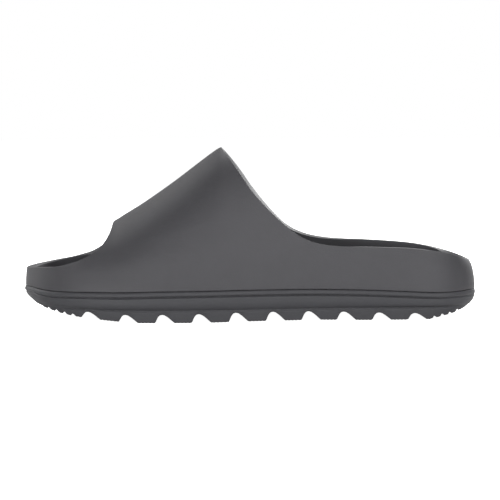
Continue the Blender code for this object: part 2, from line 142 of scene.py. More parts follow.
# Station, underside height as a share of the seam's named height: toe spring, tread, raised heel
UNDERSIDE = (
    (0.000, 0.700),
    (0.018, 0.530),
    (0.030, 0.430),
    (0.044, 0.390),
    (0.060, 0.345),
    (0.091, 0.258),
    (0.129, 0.165),
    (0.180, 0.088),
    (0.215, 0.042),
    (0.255, 0.000),
    (0.385, 0.000),
    (0.500, 0.025),
    (0.640, 0.032),
    (0.780, 0.000),
    (0.888, 0.000),
    (0.908, 0.055),
    (0.924, 0.105),
    (0.940, 0.140),
    (0.958, 0.210),
    (0.975, 0.270),
    (1.000, 0.420),
)
# Station, footbed height on its middle line and rise to its edges as shares of its named height
FOOTBED = (
    (0.00, 0.860, 0.050),
    (0.08, 0.835, 0.055),
    (0.30, 0.840, 0.050),
    (0.45, 0.930, 0.050),
    (0.60, 1.000, 0.060),
    (0.75, 0.975, 0.095),
    (0.88, 0.940, 0.110),
    (0.96, 0.950, 0.070),
    (1.00, 0.965, 0.020),
)
# Stations of the sawtooth notches across the sole
NOTCHES = (0.1451, 0.2273, 0.3062, 0.3851, 0.4649, 0.5449, 0.6224, 0.6992, 0.7763, 0.8547)
# One sawtooth notch: offset as a share of the pitch, depth as a share of the notch depth
NOTCH_SHAPE = (
    (-0.135, 0.00),
    (-0.067, 0.66),
    (-0.010, 0.94),
    (0.060, 1.00),
    (0.130, 0.93),
    (0.230, 0.64),
    (0.400, 0.00),
)
# One small groove between ribs: offset as a share of its pitch, depth as a share of its own
RIB_SHAPE = ((-0.20, 0.0), (0.00, 1.0), (0.35, 0.0))
# Outsole side over the tread: height at side, toe tip and heel tip, then how far it stands in
# from the outline at side, toe and heel. The crease's heights are shares of the crease height
CREASE_LEVELS = (
    (0.88, 1.19, 0.85, 0.0018, 0.0070, 0.0047),
    (0.98, 1.26, 0.91, 0.0029, 0.0061, 0.0043),
    (1.08, 1.33, 0.99, 0.0020, 0.0054, 0.0032),
)
# and the band's heights are shares of the seam's own height there
BAND_LEVELS = (
    (0.490, 0.593, 0.561, 0.0010, 0.0038, 0.0017),
    (0.610, 0.661, 0.634, 0.0002, 0.0021, 0.0009),
    (0.730, 0.724, 0.707, 0.0002, 0.0010, 0.0004),
)
EDGE_INSET = (0.0024, 0.0086, 0.0066)   # tread edge in from the outline at side, toe and heel
# Groove under the bead: depth below the bead and into the side as shares of the groove depth
GROOVE_SHAPE = ((1.00, 0.1), (0.75, 1.3), (0.42, 1.4), (0.18, 1.1))
# The bead: height and stand-out as shares of its own
BEAD_SHAPE = ((0.03, 0.2), (0.16, 1.0), (0.42, 1.2), (0.72, 0.7), (0.90, 0.1))


class Side(Enum):
    """The two sides of the shoe, with their column in the tables of rims."""

    LATERAL = 1
    MEDIAL = 2


class Skin(Enum):
    """Surface that the mould leaves on the foam."""

    PLAIN = "plain"
    PEBBLED = "pebbled"


def monotone(table: tuple, column: int, station: np.ndarray) -> np.ndarray:
    """Smooth curve through one column of a table that never runs past its rows.

    Cubic Hermite pieces whose slope at a row is the harmonic mean of the slopes beside it,
    and nothing where those differ in sign.

    Args:
        table: Rows that start with a station.
        column: Column of the value.
        station: Where the curve is read.

    Returns:
        The value at each station.
    """
    rows = np.array(table)
    knots, values = rows[:, 0], rows[:, column]
    spans = np.diff(knots)
    rates = np.diff(values) / spans
    product = rates[:-1] * rates[1:]
    total = rates[:-1] + rates[1:]
    inner = np.where(product > 0, 2 * product / np.where(total == 0, 1, total), 0)
    slopes = np.concatenate(([rates[0]], inner, [rates[-1]]))
    station = np.clip(station, knots[0], knots[-1])
    i = np.clip(np.searchsorted(knots, station) - 1, 0, len(spans) - 1)
    t = (station - knots[i]) / spans[i]
    return (
        values[i] * (1 + 2 * t) * (1 - t) ** 2
        + values[i + 1] * t * t * (3 - 2 * t)
        + slopes[i] * spans[i] * t * (1 - t) ** 2
        - slopes[i + 1] * spans[i] * t * t * (1 - t)
    )


def closed_spline(knots: np.ndarray, values: np.ndarray, query: np.ndarray) -> np.ndarray:
    """Closed cubic spline of one full turn, its bends solved together.

    Args:
        knots: Angles of the points, rising.
        values: Value at each knot.
        query: Angles where the spline is read.

    Returns:
        The value at each angle.
    """
    count = len(knots)
    spans = np.diff(np.append(knots, knots[0] + FULL_TURN))
    rates = (np.roll(values, -1) - values) / spans
    before = np.roll(spans, 1)
    here = np.arange(count)
    system = np.zeros((count, count))
    system[here, here - 1] = before
    system[here, here] = 2 * (before + spans)
    system[here, (here + 1) % count] = spans
    bends = np.linalg.solve(system, 6 * (rates - np.roll(rates, 1)))
    query = np.mod(query - knots[0], FULL_TURN) + knots[0]
    i = np.searchsorted(knots, query, side="right") - 1
    after = (i + 1) % count
    span, t = spans[i], query - knots[i]
    slope = rates[i] - span * (2 * bends[i] + bends[after]) / 6
    return values[i] + t * (slope + t * (bends[i] / 2 + t * (bends[after] - bends[i]) / (6 * span)))


def smooth_step(share: np.ndarray) -> np.ndarray:
    """Eases from 0 to 1: three shares squared less two cubed."""
    share = np.clip(share, 0, 1)
    return share * share * (3 - 2 * share)


def station_of(phi: np.ndarray) -> np.ndarray:
    """Share of the length from the toe at outline angle phi: 0 at the toe, pi at the heel."""
    return (1 - np.cos(phi)) / 2


def phi_of(station: np.ndarray, side: Side) -> np.ndarray:
    """Outline angle of a station on one side: the medial side is below pi."""
    angle = np.arccos(1 - 2 * np.clip(station, 0, 1))
    return FULL_TURN - angle if side is Side.LATERAL else angle


def round_corners(points: np.ndarray, times: int) -> np.ndarray:
    """Cuts each corner of a row of points at a quarter of its segments, its ends kept.

    Args:
        points: Points, their row along the second axis from the end.
        times: How often the corners are cut.

    Returns:
        The finer row of points.
    """
    for _ in range(times):
        start, end = points[..., :-1, :], points[..., 1:, :]
        pairs = np.stack((0.75 * start + 0.25 * end, 0.25 * start + 0.75 * end), axis=-2)
        cut = pairs.reshape(*points.shape[:-2], -1, 3)
        points = np.concatenate((points[..., :1, :], cut[..., 1:-1, :], points[..., -1:, :]), axis=-2)
    return points


def straight_across(start: np.ndarray, end: np.ndarray, shares: np.ndarray) -> np.ndarray:
    """Straight rows between two edges: each point is start plus a share of end less start.

    Args:
        start: Points of the first edge.
        end: Points of the second edge.
        shares: Shares of the way at which points stand.

    Returns:
        Grid of points, a row for each point of the edges.
    """
    start, end = start[:, None], end[:, None]
    return start + (end - start) * shares[:, None]


def grid_faces(rows: int, columns: int, first: int) -> np.ndarray:
    """Quads over a grid of numbered points.

    Args:
        rows: Rows of the grid.
        columns: Points in a row.
        first: Number of the grid's first point.

    Returns:
        Four corner numbers a quad.
    """
    corner = first + np.arange(rows - 1)[:, None] * columns + np.arange(columns - 1)
    quads = np.stack((corner, corner + 1, corner + columns + 1, corner + columns), axis=-1)
    return quads.reshape(-1, 4)


def mesh_of(name: str, grids: list[np.ndarray], merge: float) -> bpy.types.Mesh:
    """Mesh of several grids of points, joined where they meet, its faces pointing outwards.

    Args:
        name: Name of the mesh.
        grids: Grids of points, each of shape rows, columns and three.
        merge: Distance within which points become one.

    Returns:
        The joined mesh, shaded smooth.
    """
    faces, first = [], 0
    for grid in grids:
        faces.append(grid_faces(*grid.shape[:2], first))
        first += grid.shape[0] * grid.shape[1]
    verts = np.concatenate([grid.reshape(-1, 3) for grid in grids])
    data = bpy.data.meshes.new(name)
    data.from_pydata(verts.tolist(), [], np.concatenate(faces).tolist())
    work = bmesh.new()
    work.from_mesh(data)
    bmesh.ops.remove_doubles(work, verts=work.verts, dist=merge)
    bmesh.ops.dissolve_degenerate(work, edges=work.edges, dist=merge / 4)
    bmesh.ops.recalc_face_normals(work, faces=work.faces)
    work.to_mesh(data)
    work.free()
    data.shade_smooth()
    return data


def add_object(name: str, data: bpy.types.ID) -> bpy.types.Object:
    """Adds an object with this mesh, light or camera to the scene."""
    thing = bpy.data.objects.new(name, data)
    bpy.context.scene.collection.objects.link(thing)
    return thing


def place(name: str, data: bpy.types.Mesh, node: str, slot: str) -> bpy.types.Object:
    """Puts a mesh into the scene as the piece that stands for a node.

    Args:
        name: Name of the piece.
        data: Its mesh, already in place.
        node: Node that it replaces.
        slot: Material slot of the record; not used.

    Returns:
        The new object.
    """
    piece = add_object(name, data)
    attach(piece, BODY)
    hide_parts(node)
    log.info("%s stands for %s", name, node)
    return piece


@dataclass(frozen=True)
class Last:
    """The form that the shoe is moulded on: outline, seam, crown, rims and wall.

    Sizes are in metres and stations are shares of the length from the toe.
    """

    length: float = 0.2862
    ball_width: float = 0.108
    heel_width: float = 0.078
    seam_height: float = 0.0197
    strap_height: float = 0.1077
    toe_rim_height: float = 0.0318
    heel_rim_height: float = 0.0442
    wall: float = 0.0060
    flare: float = 0.0009
    flare_height: float = 0.0080
    flare_reach: float = 1.5
    foot_land: float = 0.0015
    waist_start: float = 0.30
    waist_end: float = 0.75
    toe_pivot: float = 0.155
    heel_pivot: float = 0.865
    apex: float = 0.4380
    crown_shift: float = 0.035
    section_power: float = 2.2

    def local_width(self, station: np.ndarray) -> np.ndarray:
        """Ball width in the forefoot, easing to heel width behind the arch."""
        share = smooth_step((station - self.waist_start) / (self.waist_end - self.waist_start))
        return self.ball_width + (self.heel_width - self.ball_width) * share

    def raw_side(self, phi: np.ndarray) -> np.ndarray:
        """Side coordinate of the outline before it is centred.

        Args:
            phi: Outline angles.

        Returns:
            A closed spline through the table's two half widths, medial positive.
        """
        rows = np.array(OUTLINE)
        angles = np.arccos(1 - 2 * rows[:, 0])
        widths = self.local_width(rows[:, 0])
        medial, lateral = rows[:, 1] * widths, -rows[:, 2] * widths
        knots = np.concatenate((angles, FULL_TURN - angles[-2:0:-1]))
        return closed_spline(knots, np.concatenate((medial, lateral[-2:0:-1])), phi)

    def side_shift(self) -> float:
        """Shift that centres the outline between its widest points."""
        ring = self.raw_side(np.linspace(0, FULL_TURN, OUTLINE_SAMPLES))
        return -(ring.max() + ring.min()) / 2

    def outline(self, phi: np.ndarray) -> np.ndarray:
        """Plan points of the outline at the seam."""
        along = (station_of(phi) - 0.5) * self.length
        return np.stack((along, self.raw_side(phi) + self.side_shift()), axis=-1)

    def pivot(self, phi: np.ndarray) -> np.ndarray:
        """Plan point that the section at phi closes towards, held back from toe and heel.

        Args:
            phi: Outline angles.

        Returns:
            Points on the crown's line in plan, a little to the medial side.
        """
        station = np.clip(station_of(phi), self.toe_pivot, self.heel_pivot)
        angle = np.arccos(1 - 2 * station)
        medial = self.outline(angle)[..., 1]
        lateral = self.outline(FULL_TURN - angle)[..., 1]
        middle = (medial + lateral) / 2 + self.crown_shift * (medial - lateral)
        return np.stack(((station - 0.5) * self.length, middle), axis=-1)

    def inset(self, phi: np.ndarray, depth: np.ndarray) -> np.ndarray:
        """Outline moved towards the pivot.

        Args:
            phi: Outline angles.
            depth: How far it moves, one value or one an angle.

        Returns:
            Plan points.
        """
        base, centre = self.outline(phi), self.pivot(phi)
        direction = (centre - base) / np.linalg.norm(centre - base, axis=-1, keepdims=True)
        return base + direction * np.broadcast_to(depth, phi.shape)[..., None]

    def seam(self, phi: np.ndarray) -> np.ndarray:
        """Height of the seam between upper and outsole."""
        return self.seam_height * monotone(SEAM_LINE, 1, station_of(phi))

    def crown_rise(self, phi: np.ndarray) -> np.ndarray:
        """Height of the crown line over the seam."""
        return self.strap_height * monotone(CROWN_LINE, 1, station_of(phi)) - self.seam(phi)

    def dome(self, phi: np.ndarray, theta: np.ndarray) -> np.ndarray:
        """Outer surface of the upper.

        phi runs round the outline and theta up the section, 0 at the seam and a quarter turn
        on the crown. Height is the crown's rise times a power of sin theta, and the plan point
        goes from outline to pivot by 1 less that power of cos theta: a superellipse. Over its
        upright land the wall draws in by the flare, so that its foot stands out.

        Args:
            phi: Outline angles.
            theta: Section angles, of the same shape.

        Returns:
            Points in space.
        """
        power = 2 / self.section_power
        rise = self.crown_rise(phi) * np.sin(theta) ** power
        base, centre = self.outline(phi), self.pivot(phi)
        reach = np.linalg.norm(centre - base, axis=-1)
        ends = np.clip(np.sin(phi) ** 2 * self.flare_reach, 0, 1)
        spread = self.flare * ends * smooth_step((rise - self.foot_land) / self.flare_height)
        closing = 1 - np.cos(theta) ** power
        closing = closing + spread / reach * (1 - closing)
        plan = base + (centre - base) * closing[..., None]
        return np.concatenate((plan, (self.seam(phi) + rise)[..., None]), axis=-1)

    def theta_at(self, phi: np.ndarray, height: np.ndarray) -> np.ndarray:
        """Section angle at which the upper's surface reaches a height."""
        share = np.clip((height - self.seam(phi)) / self.crown_rise(phi), 0, 1)
        return np.arcsin(share ** (self.section_power / 2))

    def inside(self, phi: np.ndarray, rise: np.ndarray, depth: float) -> np.ndarray:
        """Point behind the upper's outer surface: moved in square to it, put back at its height.

        Args:
            phi: Outline angles.
            rise: Height over the seam of each point.
            depth: Distance from the outer surface.

        Returns:
            Points in space.
        """
        step = 1e-3
        theta = self.theta_at(phi, self.seam(phi) + rise)
        along = self.dome(phi + step, theta) - self.dome(phi - step, theta)
        up = self.dome(phi, theta + step) - self.dome(phi, np.maximum(theta - step, 0))
        normal = np.cross(along, up)
        normal /= np.linalg.norm(normal, axis=-1, keepdims=True)
        outward = self.dome(phi, theta)[..., :2] - self.pivot(phi)
        sign = np.sign(np.sum(normal[..., :2] * outward, axis=-1))
        point = self.dome(phi, theta) - normal * sign[..., None] * depth
        point[..., 2] = self.seam(phi) + rise
        return point

    def rim_height(self, phi: np.ndarray) -> np.ndarray:
        """Top of the wall: toe rim in front of the strap's top, collar behind it.

        Args:
            phi: Outline angles.

        Returns:
            Heights over the floor.
        """
        station = station_of(phi)
        lateral = np.mod(phi, FULL_TURN) > math.pi
        first, second = Side.LATERAL.value, Side.MEDIAL.value
        toe = np.where(lateral, monotone(TOE_RIM, first, station), monotone(TOE_RIM, second, station))
        share = np.where(lateral, monotone(COLLAR, first, station), monotone(COLLAR, second, station))
        collar = self.heel_rim_height + share * (self.strap_height - self.heel_rim_height)
        return np.where(station < self.apex, toe * self.toe_rim_height, collar)


@dataclass(frozen=True)
class FoamFinish:
    """Look of one foam: colours in linear light, gloss, and the mould's skin."""

    name: str
    dark: tuple[float, float, float]
    light: tuple[float, float, float]
    roughness: float
    gloss: float
    grain_depth: float
    sheen: float = 0.05
    sheen_roughness: float = 0.4
    skin: Skin = Skin.PLAIN


UPPER_FOAM = FoamFinish(
    name="upper_foam_skin",
    dark=(0.050, 0.049, 0.054),
    light=(0.062, 0.061, 0.067),
    roughness=0.62,
    gloss=0.42,
    grain_depth=0.00006,
)
OUTSOLE_FOAM = FoamFinish(
    name="outsole_foam_skin",
    dark=(0.047, 0.047, 0.052),
    light=(0.058, 0.058, 0.064),
    roughness=0.66,
    gloss=0.40,
    grain_depth=0.00007,
)
FOOTBED_FOAM = FoamFinish(
    name="footbed_foam_skin",
    dark=(0.044, 0.044, 0.048),
    light=(0.056, 0.056, 0.061),
    roughness=0.72,
    gloss=0.35,
    grain_depth=0.00007,
    skin=Skin.PEBBLED,
)


class FoamSkin:
    """Node group of the foam's moulded skin, built once and used by every foam.

    Grain, mottle and flow marks are noises, each with its scale and detail.
    """

    NAME = "moulded foam skin"
    GRAIN = (1500.0, 2.0)
    MOTTLE = (75.0, 5.0)
    FLOW = (16.0, 3.0)
    PORE_SCALE = 620.0
    NOISE_ROUGHNESS = 0.6
    MOTTLE_SHARE = 0.6
    MOTTLE_BASE = 0.2
    FLOW_BASE = 0.5
    FLOW_SWING = 0.16
    GRAIN_SWING = 0.10
    PORE_RIM = 0.5
    PORE_DEPTH = 0.7

    def __init__(self) -> None:
        """Builds the group."""
        self.tree = bpy.data.node_groups.new(self.NAME, "ShaderNodeTree")
        self.add_sockets()
        self.add_nodes()

    def add_sockets(self) -> None:
        """Gives the group its named inputs and outputs."""
        sockets = (
            ("Vector", "INPUT", "NodeSocketVector"),
            ("Dark", "INPUT", "NodeSocketColor"),
            ("Light", "INPUT", "NodeSocketColor"),
            ("Roughness", "INPUT", "NodeSocketFloat"),
            ("Color", "OUTPUT", "NodeSocketColor"),
            ("Surface Roughness", "OUTPUT", "NodeSocketFloat"),
            ("Height", "OUTPUT", "NodeSocketFloat"),
        )
        for name, direction, kind in sockets:
            self.tree.interface.new_socket(name=name, in_out=direction, socket_type=kind)

    def noise(self, scale: float, detail: float) -> bpy.types.Node:
        """Noise texture read at the group's vector.

        Args:
            scale: Cells a metre.
            detail: Octaves of finer noise.

        Returns:
            The node.
        """
        node = self.tree.nodes.new("ShaderNodeTexNoise")
        node.inputs["Scale"].default_value = scale
        node.inputs["Detail"].default_value = detail
        node.inputs["Roughness"].default_value = self.NOISE_ROUGHNESS
        self.tree.links.new(self.source.outputs["Vector"], node.inputs["Vector"])
        return node

    def math(
        self,
        operation: str,
        first: bpy.types.NodeSocket,
        second: float | bpy.types.NodeSocket,
        third: float | None = None,
    ) -> bpy.types.NodeSocket:
        """Math node on a socket and a number or second socket.

        Args:
            operation: Name of the operation.
            first: Socket of the first value.
            second: Second value, or its socket.
            third: Third value, for an operation that has one.

        Returns:
            The result's socket.
        """
        node = self.tree.nodes.new("ShaderNodeMath")
        node.operation = operation
        self.tree.links.new(first, node.inputs[0])
        if isinstance(second, float):
            node.inputs[1].default_value = second
        else:
            self.tree.links.new(second, node.inputs[1])
        if third is not None:
            node.inputs[2].default_value = third
        return node.outputs[0]

    def add_nodes(self) -> None:
        """Mottle and flow vary the colour, flow and grain the roughness, grain and pores the height."""
        nodes, links = self.tree.nodes, self.tree.links
        self.source = nodes.new("NodeGroupInput")
        result = nodes.new("NodeGroupOutput")
        grain = self.noise(*self.GRAIN)
        mottle = self.noise(*self.MOTTLE)
        flow = self.noise(*self.FLOW)
        pores = nodes.new("ShaderNodeTexVoronoi")
        pores.inputs["Scale"].default_value = self.PORE_SCALE
        links.new(self.source.outputs["Vector"], pores.inputs["Vector"])
        both = self.math("MULTIPLY_ADD", mottle.outputs[0], self.MOTTLE_SHARE, self.MOTTLE_BASE)
        share = self.math("MULTIPLY", both, self.math("ADD", flow.outputs[0], self.FLOW_BASE))
        mix = nodes.new("ShaderNodeMix")
        mix.data_type = "RGBA"
        links.new(share, mix.inputs["Factor"])
        links.new(self.source.outputs["Dark"], mix.inputs[6])
        links.new(self.source.outputs["Light"], mix.inputs[7])
        links.new(mix.outputs[2], result.inputs["Color"])
        swing = self.math("MULTIPLY_ADD", flow.outputs[0], self.FLOW_SWING, -self.FLOW_SWING / 2)
        fine = self.math("MULTIPLY_ADD", grain.outputs[0], self.GRAIN_SWING, -self.GRAIN_SWING / 2)
        rough = self.math("ADD", self.source.outputs["Roughness"], self.math("ADD", swing, fine))
        links.new(rough, result.inputs["Surface Roughness"])
        capped = self.math("MINIMUM", pores.outputs["Distance"], self.PORE_RIM)
        pitted = self.math("MULTIPLY", capped, self.PORE_DEPTH)
        links.new(self.math("ADD", pitted, grain.outputs[0]), result.inputs["Height"])


@dataclass(frozen=True)
class PebbleSizes:
    """Raised dots over the footbed: pitch, radius as a share of it, height, and turn of their rows."""

    pitch: float = 0.0042
    radius: float = 0.34
    height: float = 0.00035
    turn: float = math.radians(45)


def foam_material(
    finish: FoamFinish, skin: FoamSkin, pebbles: PebbleSizes = PebbleSizes()
) -> bpy.types.Material:
    """Matt foam with its skin, and raised dots where the finish is pebbled.

    Args:
        finish: The foam's look.
        skin: Node group of the skin.
        pebbles: Sizes of the raised dots.

    Returns:
        The material.
    """
    material = bpy.data.materials.new(finish.name)
    material.use_nodes = True
    nodes, links = material.node_tree.nodes, material.node_tree.links
    shader = nodes["Principled BSDF"]
    shader.inputs["Specular IOR Level"].default_value = finish.gloss
    shader.inputs["Sheen Weight"].default_value = finish.sheen
    shader.inputs["Sheen Roughness"].default_value = finish.sheen_roughness
    own = nodes.new("ShaderNodeTexCoord")
    group = nodes.new("ShaderNodeGroup")
    group.node_tree = skin.tree
    group.inputs["Dark"].default_value = (*finish.dark, 1)
    group.inputs["Light"].default_value = (*finish.light, 1)
    group.inputs["Roughness"].default_value = finish.roughness
    links.new(own.outputs["Object"], group.inputs["Vector"])
    links.new(group.outputs["Color"], shader.inputs["Base Color"])
    links.new(group.outputs["Surface Roughness"], shader.inputs["Roughness"])
    grain = nodes.new("ShaderNodeBump")
    grain.inputs["Distance"].default_value = finish.grain_depth
    links.new(group.outputs["Height"], grain.inputs["Height"])
    if finish.skin is Skin.PEBBLED:
        dots = nodes.new("ShaderNodeTexVoronoi")
        dots.inputs["Scale"].default_value = 1 / pebbles.pitch
        dots.inputs["Randomness"].default_value = 0.0
        dots.voronoi_dimensions = "2D"
        turn = nodes.new("ShaderNodeMapping")
        turn.inputs["Rotation"].default_value = (0, 0, pebbles.turn)
        links.new(own.outputs["Object"], turn.inputs["Vector"])
        links.new(turn.outputs[0], dots.inputs["Vector"])
        dome = nodes.new("ShaderNodeMapRange")
        dome.interpolation_type = "SMOOTHSTEP"
        dome.inputs["From Min"].default_value = pebbles.radius
        dome.inputs["From Max"].default_value = 0.0
        links.new(dots.outputs["Distance"], dome.inputs["Value"])
        raised = nodes.new("ShaderNodeBump")
        raised.inputs["Distance"].default_value = pebbles.height
        links.new(dome.outputs[0], raised.inputs["Height"])
        links.new(raised.outputs[0], grain.inputs["Normal"])
    links.new(grain.outputs[0], shader.inputs["Normal"])
    return material


@dataclass
class Upper:
    """Strap and wall as one shell with rounded rims.

    Where the strap begins and ends on the wall is given by the two junctions' stations.
    """

    last: Last
    rim_rounding: float = 0.0006
    seam_rounding: float = 0.0011
    rim_land: float = 0.0010
    rim_land_fade: float = 0.12
    heel_rounding: float = 0.0013
    heel_round_start: float = 0.94
    heel_round_under: float = 0.3
    lip_station: float = 0.1971
    toe_junction: float = 0.165
    collar_junction: float = 0.606
    lip_sweep: float = 4.0
    arch_crowding: float = 1.2
    wall_shares: tuple[float, ...] = (0.0, 0.12, 0.25, 0.4, 0.55, 0.72)
    strap_columns: int = 30
    arch_rows: int = 22
    toe_columns: int = 52
    heel_columns: int = 68
    grid_merge: float = 1e-5
    rounding_segments: int = 3
    smooth_levels: int = 1

    def wall_rows(self, phi: np.ndarray, top: np.ndarray) -> np.ndarray:
        """Rows of the wall: its upright land at the foot, then up to a section angle.

        The last row but one runs a narrow land's height under the last.

        Args:
            phi: Outline angles of the columns.
            top: Section angle where each column ends.

        Returns:
            Grid of points, a row from end to end.
        """
        last = self.last
        land = last.theta_at(phi, last.seam(phi) + last.foot_land)
        under = last.theta_at(phi, last.dome(phi, top)[:, 2] - self.rim_land)
        theta = land + (top - land) * np.array(self.wall_shares)[:, None]
        theta = np.vstack((0 * phi, theta, under, top))
        return last.dome(np.broadcast_to(phi, theta.shape), theta)

    def wall_strip(self, start: float, end: float, columns: int) -> np.ndarray:
        """Low wall from one outline angle to another, up to its rim.

        Under the rim the land stands upright, so that the wall's top is level, and towards
        both ends of the strip it leans back into the wall. At the tip of the heel the top two
        rows are drawn inwards, which rounds the rim there.

        Args:
            start: Outline angle of the first column.
            end: Outline angle of the last column.
            columns: Faces along the strip.

        Returns:
            Grid of points, rows from the seam up.
        """
        last = self.last
        phi = np.linspace(start, end, columns + 1)
        rows = self.wall_rows(phi, last.theta_at(phi, last.rim_height(phi)))
        u = np.linspace(0, 1, columns + 1)
        upright = smooth_step(np.minimum(u, 1 - u) / self.rim_land_fade)[:, None]
        rows[-1, :, :2] += (rows[-2, :, :2] - rows[-1, :, :2]) * upright
        inward = last.pivot(phi) - last.outline(phi)
        inward /= np.linalg.norm(inward, axis=-1, keepdims=True)
        tip = smooth_step((station_of(phi) - self.heel_round_start) / (1 - self.heel_round_start))
        for row, share in ((-1, 1.0), (-2, self.heel_round_under)):
            rows[row, :, :2] += inward * (tip * share * self.heel_rounding)[:, None]
        return rows

    def collar_station(self, theta: np.ndarray, side: Side) -> np.ndarray:
        """Station where a section angle meets the collar, found by halving.

        Args:
            theta: Section angles.
            side: Side of the shoe.

        Returns:
            A station for each angle.
        """
        low = np.full_like(theta, self.last.apex)
        high = np.full_like(theta, self.collar_junction)
        for _ in range(HALVINGS):
            middle = (low + high) / 2
            phi = phi_of(middle, side)
            above = self.last.dome(phi, theta)[..., 2] > self.last.rim_height(phi)
            high = np.where(above, middle, high)
            low = np.where(above, low, middle)
        return (low + high) / 2

    def strap_half(self, side: Side) -> np.ndarray:
        """One side of the strap: rows from seam to crown, columns from front lip to collar.

        The wall's columns stand at even stations between the two junctions. Above them the
        first column follows the lip, whose station nears the lip station by a power of the
        share of the arch, and the last one follows the collar.

        Args:
            side: Side of the shoe.

        Returns:
            Grid of points.
        """
        last = self.last
        u = np.linspace(0, 1, self.strap_columns + 1)
        ends = phi_of(np.array([self.toe_junction, self.collar_junction]), side)
        turn = last.theta_at(ends, last.rim_height(ends))
        turn_row = turn[0] + (turn[1] - turn[0]) * u
        stations = self.toe_junction + (self.collar_junction - self.toe_junction) * u
        wall = self.wall_rows(phi_of(stations, side), turn_row)
        share = np.linspace(0, 1, self.arch_rows + 1)[1:, None] ** self.arch_crowding
        theta = turn_row + (math.pi / 2 - turn_row) * share
        reach = self.lip_station - self.toe_junction
        lip = self.toe_junction + reach * (1 - (1 - share[:, 0]) ** self.lip_sweep)
        collar = self.collar_station(theta[:, -1], side)
        collar[-1] = last.apex
        station = lip[:, None] + (collar - lip)[:, None] * u
        return np.concatenate((wall, last.dome(phi_of(station, side), theta)))

    def build(self) -> bpy.types.Object:
        """Builds the sheet, then its thickness, rounded edges and smooth surface.

        Returns:
            The upper's piece.
        """
        fronts = [phi_of(self.toe_junction, side) for side in Side]
        rears = [phi_of(self.collar_junction, side) for side in Side]
        grids = [
            self.wall_strip(fronts[0] - FULL_TURN, fronts[1], self.toe_columns),
            self.wall_strip(rears[1], rears[0], self.heel_columns),
            self.strap_half(Side.LATERAL),
            self.strap_half(Side.MEDIAL)[:, ::-1],
        ]
        data = mesh_of("upper", grids, self.grid_merge)
        self.point_outwards(data)
        self.weigh_edges(data)
        piece = place("upper_shell", data, "upper", "upper_foam")
        shell = piece.modifiers.new("wall", "SOLIDIFY")
        shell.thickness = self.last.wall
        shell.offset = -1
        shell.use_even_offset = True
        shell.use_quality_normals = True
        rounding = piece.modifiers.new("rounded edges", "BEVEL")
        rounding.limit_method = "WEIGHT"
        rounding.width = self.seam_rounding
        rounding.segments = self.rounding_segments
        smooth = piece.modifiers.new("smooth", "SUBSURF")
        smooth.levels = smooth.render_levels = self.smooth_levels
        return piece

    @staticmethod
    def point_outwards(data: bpy.types.Mesh) -> None:
        """Turns the open sheet's faces round if its highest one looks down.

        Args:
            data: The sheet.
        """
        normals = np.empty(len(data.polygons) * 3)
        centres = np.empty(len(data.polygons) * 3)
        data.polygons.foreach_get("normal", normals)
        data.polygons.foreach_get("center", centres)
        if normals.reshape(-1, 3)[np.argmax(centres.reshape(-1, 3)[:, 2]), 2] < 0:
            data.flip_normals()

    def weigh_edges(self, data: bpy.types.Mesh) -> None:
        """Marks the sheet's free edges with their rounding as a share of the seam's.

        Args:
            data: The sheet.
        """
        edge_of_corner = np.empty(len(data.loops), np.int32)
        data.loops.foreach_get("edge_index", edge_of_corner)
        ends = np.empty(len(data.edges) * 2, np.int32)
        data.edges.foreach_get("vertices", ends)
        points = np.empty(len(data.vertices) * 3)
        data.vertices.foreach_get("co", points)
        free = np.bincount(edge_of_corner, minlength=len(data.edges)) == 1
        start = points.reshape(-1, 3)[ends[::2]]
        low = start[:, 2] < (self.last.seam_height + self.last.toe_rim_height) / 2
        weight = np.where(free, np.where(low, 1, self.rim_rounding / self.seam_rounding), 0)
        layer = data.attributes.new("bevel_weight_edge", "FLOAT", "EDGE")
        layer.data.foreach_set("value", weight.astype(np.float32))


@dataclass
class Insole:
    """Footbed inside the wall, hollowed between its edges and turned up to meet the wall."""

    last: Last
    height: float = 0.0320
    clearance: float = 0.0006
    hollow_power: float = 4.0
    stations: int = 150
    across: int = 64
    bottom_columns: int = 8
    side_shares: tuple[float, ...] = (0.2, 0.4, 0.6, 0.8, 0.92, 1.0)

    def side(self, angle: np.ndarray, side: Side, edge: np.ndarray) -> np.ndarray:
        """Side that follows the wall from the seam up to the footbed's edge.

        Args:
            angle: Outline angles on the medial side, from toe to heel.
            side: Side of the shoe.
            edge: Height of the footbed's edge at each angle.

        Returns:
            Grid of points, a row an angle.
        """
        phi = FULL_TURN - angle if side is Side.LATERAL else angle
        height = edge - self.last.seam(phi)
        rises = [0 * height, self.last.foot_land + 0 * height]
        rises += [share * height for share in self.side_shares]
        depth = self.last.wall + self.clearance
        rows = [self.last.inside(phi, rise, depth) for rise in rises]
        return np.stack(rows, axis=1)

    def build(self) -> bpy.types.Object:
        """Rings of side, top, side and bottom from toe to heel.

        Across the top the height dips by the edge's rise times 1 less the fourth power of the
        distance from the middle, so it is flat in the middle and steep by the wall.

        Returns:
            The footbed's piece.
        """
        angle = np.linspace(0, math.pi, self.stations + 1)
        station = station_of(angle)
        middle = self.height * monotone(FOOTBED, 1, station)
        edge = middle + self.height * monotone(FOOTBED, 2, station)
        lateral, medial = self.side(angle, Side.LATERAL, edge), self.side(angle, Side.MEDIAL, edge)
        w = (1 - np.cos(np.linspace(0, math.pi, self.across + 1)[1:-1])) / 2
        top = straight_across(lateral[:, -1], medial[:, -1], w)
        top[..., 2] -= (edge - middle)[:, None] * (1 - (2 * w - 1) ** self.hollow_power)
        shares = np.linspace(0, 1, self.bottom_columns + 1)[1:-1]
        bottom = straight_across(medial[:, 0], lateral[:, 0], shares)
        rings = np.concatenate((lateral, top, medial[:, ::-1], bottom, lateral[:, :1]), axis=1)
        return place("insole_footbed", mesh_of("insole", [rings], MERGE), "insole", "footbed_foam")


